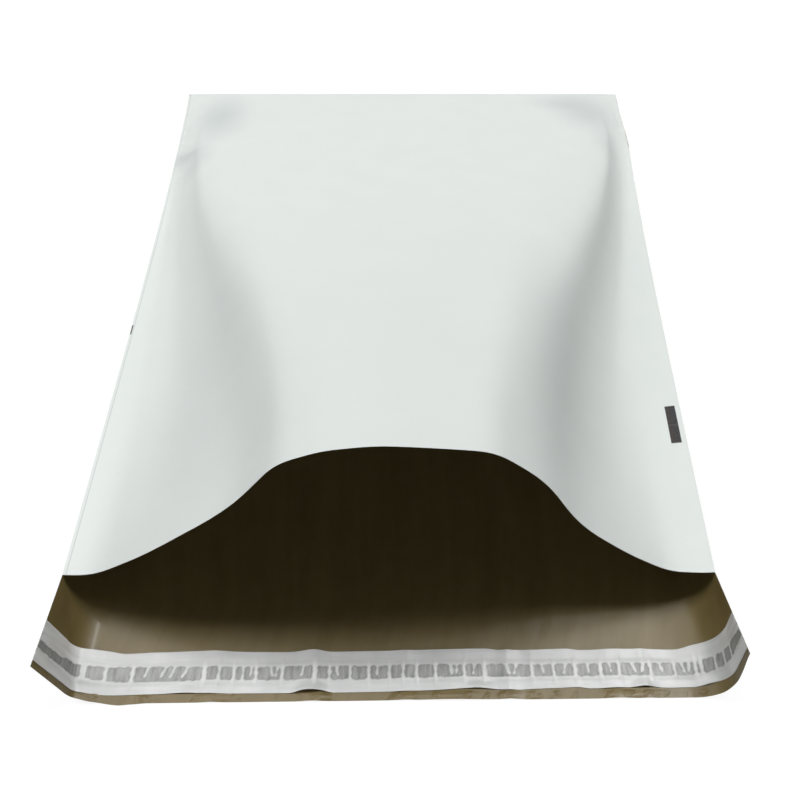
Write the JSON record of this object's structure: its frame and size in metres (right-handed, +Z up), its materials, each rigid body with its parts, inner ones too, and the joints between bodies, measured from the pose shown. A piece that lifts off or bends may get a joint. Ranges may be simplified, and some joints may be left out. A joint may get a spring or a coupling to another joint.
{
  "type": "poly mailer bag",
  "caption": "Open poly mailer bag lying flat, two-sided film, mouth held in an arch, flap with an adhesive band under a peel-off release liner.",
  "frame": {"origin": "on the ground, under the middle of the bag's box", "axes": "+X to the right for someone who looks into the mouth, +Y towards the closed end, +Z up"},
  "size_m": [0.3048, 0.4346, 0.0904],
  "materials": {
    "film": "smooth satin polyethylene film, white outside and taupe inside",
    "adhesive": "wet-looking grey hot-melt adhesive",
    "liner": "thin translucent grey-white release film"
  },
  "bodies": {
    "root": {"mailer_film": "film", "adhesive_strip": "adhesive", "release_liner": "liner"}
  },
  "joints": []
}
